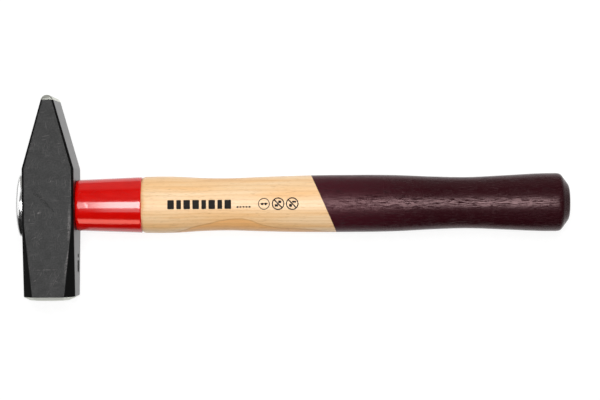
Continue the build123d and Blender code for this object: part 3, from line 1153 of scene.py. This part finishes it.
def print_marks(name, marks):
    """Joins flat marks and drapes them on the handle as one inked film."""
    shell = bmesh.new()
    for loops in marks:
        mesh = flat_mesh(loops)
        shell.from_mesh(mesh)
        bpy.data.meshes.remove(mesh)
    bmesh.ops.remove_doubles(shell, verts=shell.verts, dist=0.001 * MM)
    bmesh.ops.triangulate(shell, faces=shell.faces)
    for face in shell.faces:
        if face.normal.z < 0:
            face.normal_flip()
    flat = bpy.data.meshes.new(name + "_flat")
    shell.to_mesh(flat)
    shell.free()
    holder = new_piece(name + "_flat", flat)
    film = run_tree(name, DRAPE, {
        "Marks": holder, "Wood": handle, "Film": INK_FILM, "Material": INK})
    bpy.data.objects.remove(holder)
    keep_one_material(film.data, INK)
    print(name, len(film.data.polygons), "faces")
    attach(film, "root")


DRAPE = drape_tree()
print_marks("printed_block_row", block_row() + dash_row())
print_marks("printed_ring_signs", ring_signs())

# %% [markdown]
# ## Floor, light and camera
# The hammer lies on a sheet of white paper over a light pad, so that its shadow stays faint. The
# camera sees the paper evenly bright, but only the pad's own rectangle shines on the hammer. A
# large softbox over the camera gives the long highlights, and a small wing beside it reaches
# the head. Fills from both sides only lighten: they are kept out of reflections. Polished parts
# need cards of their own, as in any product studio, so light linking gives the enamel a strip
# and a soft edge to its highlight, and the plate a large card. The camera looks straight down
# from a metre up.

# %% Floor
CAMERA_PLACE = Vector((0.15995, 0.00245, 1.0065))
PAD_HALF = (0.2, 0.135)       # metres, half the lit pad under the paper
PAPER_GLOW = 0.84
REST_GLOW = 0.1               # what the paper gives the hammer beyond the pad


def paper():
    """Matt paper with a faint fibre, lit from below."""
    material, tree, shader = new_material("white_paper_on_light_pad")
    space = add(tree, "ShaderNodeTexCoord").outputs["Object"]
    fibres = noise(tree, millimetres(tree), (3, 3, 3), 3.0)
    colour = blend(tree, spread(tree, fibres, 0.3, 0.7), linear("#7A7A7A"), linear("#828282"))
    own = add(tree, "ShaderNodeMapping", {
        "Vector": space, "Location": (CAMERA_PLACE.x, 0, 0), "Scale": (*PAD_HALF, 1)},
        vector_type="TEXTURE")
    size = add(tree, "ShaderNodeVectorMath", {0: own}, operation="ABSOLUTE")
    way = add(tree, "ShaderNodeSeparateXYZ", {0: size}).outputs
    reach = add(tree, "ShaderNodeMath", {0: way["X"], 1: way["Y"]}, operation="MAXIMUM")
    pad = spread(tree, reach, 1.0, 1.3, PAPER_GLOW, REST_GLOW)
    seen = add(tree, "ShaderNodeLightPath").outputs["Is Camera Ray"]
    glow = add(tree, "ShaderNodeMix", {0: seen, 2: pad, 3: PAPER_GLOW})
    feed(tree, shader, {"Base Color": colour, "Roughness": 0.9, "Emission Color": (1, 1, 1, 1),
                        "Emission Strength": glow})
    return material


def floor():
    shell = bmesh.new()
    bmesh.ops.create_grid(shell, x_segments=8, y_segments=8, size=1.5)
    bmesh.ops.translate(shell, verts=shell.verts, vec=(BUTT / 2, 0, 0))
    sheet = from_bmesh("paper_floor", shell, paper())
    if sheet.data.polygons[0].normal.z < 0:
        sheet.data.flip_normals()


floor()

# %% Lights
def softbox(name, place, aim, width, height, radiance):
    """An area light of a given radiance that faces a point."""
    light = bpy.data.lights.new(name, "AREA")
    light.shape = "RECTANGLE"
    light.size = width
    light.size_y = height
    light.energy = radiance * math.pi * width * height
    made = new_piece(name, light)
    made.location = place
    made.rotation_euler = (Vector(aim) - Vector(place)).to_track_quat("-Z", "Y").to_euler()
    return made


def only_for(light, *pieces):
    """Flags off a light, so that only some pieces receive it."""
    receivers = bpy.data.collections.new(light.name + "_receivers")
    for piece in pieces:
        receivers.objects.link(piece)
    light.light_linking.receiver_collection = receivers


MIDDLE = Vector((CAMERA_PLACE.x, 0, AXIS))
KEY_HEIGHT = 1.07             # metres over the handle, a little above the camera
# name, place from the middle, where it aims from there, width, height, radiance
BOXES = [
    ("key", (0, 0, KEY_HEIGHT), (0, 0, 0), 0.7, 0.22, 11.5),
    ("key_wing", (-0.41, 0, KEY_HEIGHT), (-0.41, 0, 0), 0.12, 0.22, 4),
    ("strip", (-0.44, -0.78, 0.63), (0, 0, 0), 0.44, 0.4, 5.5),
    ("key_edge", (0, -0.2, 1.05), (0, 0, 0), 0.7, 0.18, 1.8),
    ("fill", (0, 0.44, 0.95), (0, 0, 0), 0.8, 0.6, 5.55),
    ("low_fill", (0, -0.9, 0.55), (0, 0, 0), 0.8, 0.5, 1.0),
]
lamps = {name: softbox(name, MIDDLE + Vector(place), MIDDLE + Vector(aim), *rest)
         for name, place, aim, *rest in BOXES}
lamps["strip"].data.color = (1.0, 0.36, 0.28)
for name in ("strip", "key_edge"):
    lamps[name].visible_diffuse = False
    only_for(lamps[name], sleeve)
for name in ("fill", "low_fill"):
    lamps[name].visible_glossy = False
card = softbox("plate_card", Vector((-0.8, 0.34, 0.5)), Vector((TOP, 0, AXIS)), 1.5, 1.6, 1.2)
only_for(card, plate, screw)
ROOM_SEEN = 0.85              # how bright the camera sees the room


def studio():
    """Pale to the camera; to the hammer a dark room with a dim wall beyond the peen."""
    world = bpy.data.worlds.new("studio")
    world.use_nodes = True
    tree = world.node_tree
    tree.nodes.clear()
    direction = add(tree, "ShaderNodeTexCoord").outputs["Generated"]
    way = add(tree, "ShaderNodeSeparateXYZ", {0: direction})
    wall = spread(tree, way.outputs["Y"], 0.66, 0.8, 0.01, 0.36)
    seen = add(tree, "ShaderNodeLightPath").outputs["Is Camera Ray"]
    glow = spread(tree, seen, 0.0, 1.0, wall, ROOM_SEEN)
    back = add(tree, "ShaderNodeBackground", {"Color": linear("#FAF8F3"), "Strength": glow})
    add(tree, "ShaderNodeOutputWorld", {"Surface": back})
    scene.world = world


studio()

# %% Camera
lens = bpy.data.cameras.new("overhead")
lens.lens = 92.3
lens.sensor_width = 36
camera = new_piece("overhead", lens)
camera.location = CAMERA_PLACE
camera.rotation_euler = (0, 0, math.radians(-0.4))     # the hammer lies very slightly askew
scene.camera = camera
scene.view_settings.view_transform = "Standard"
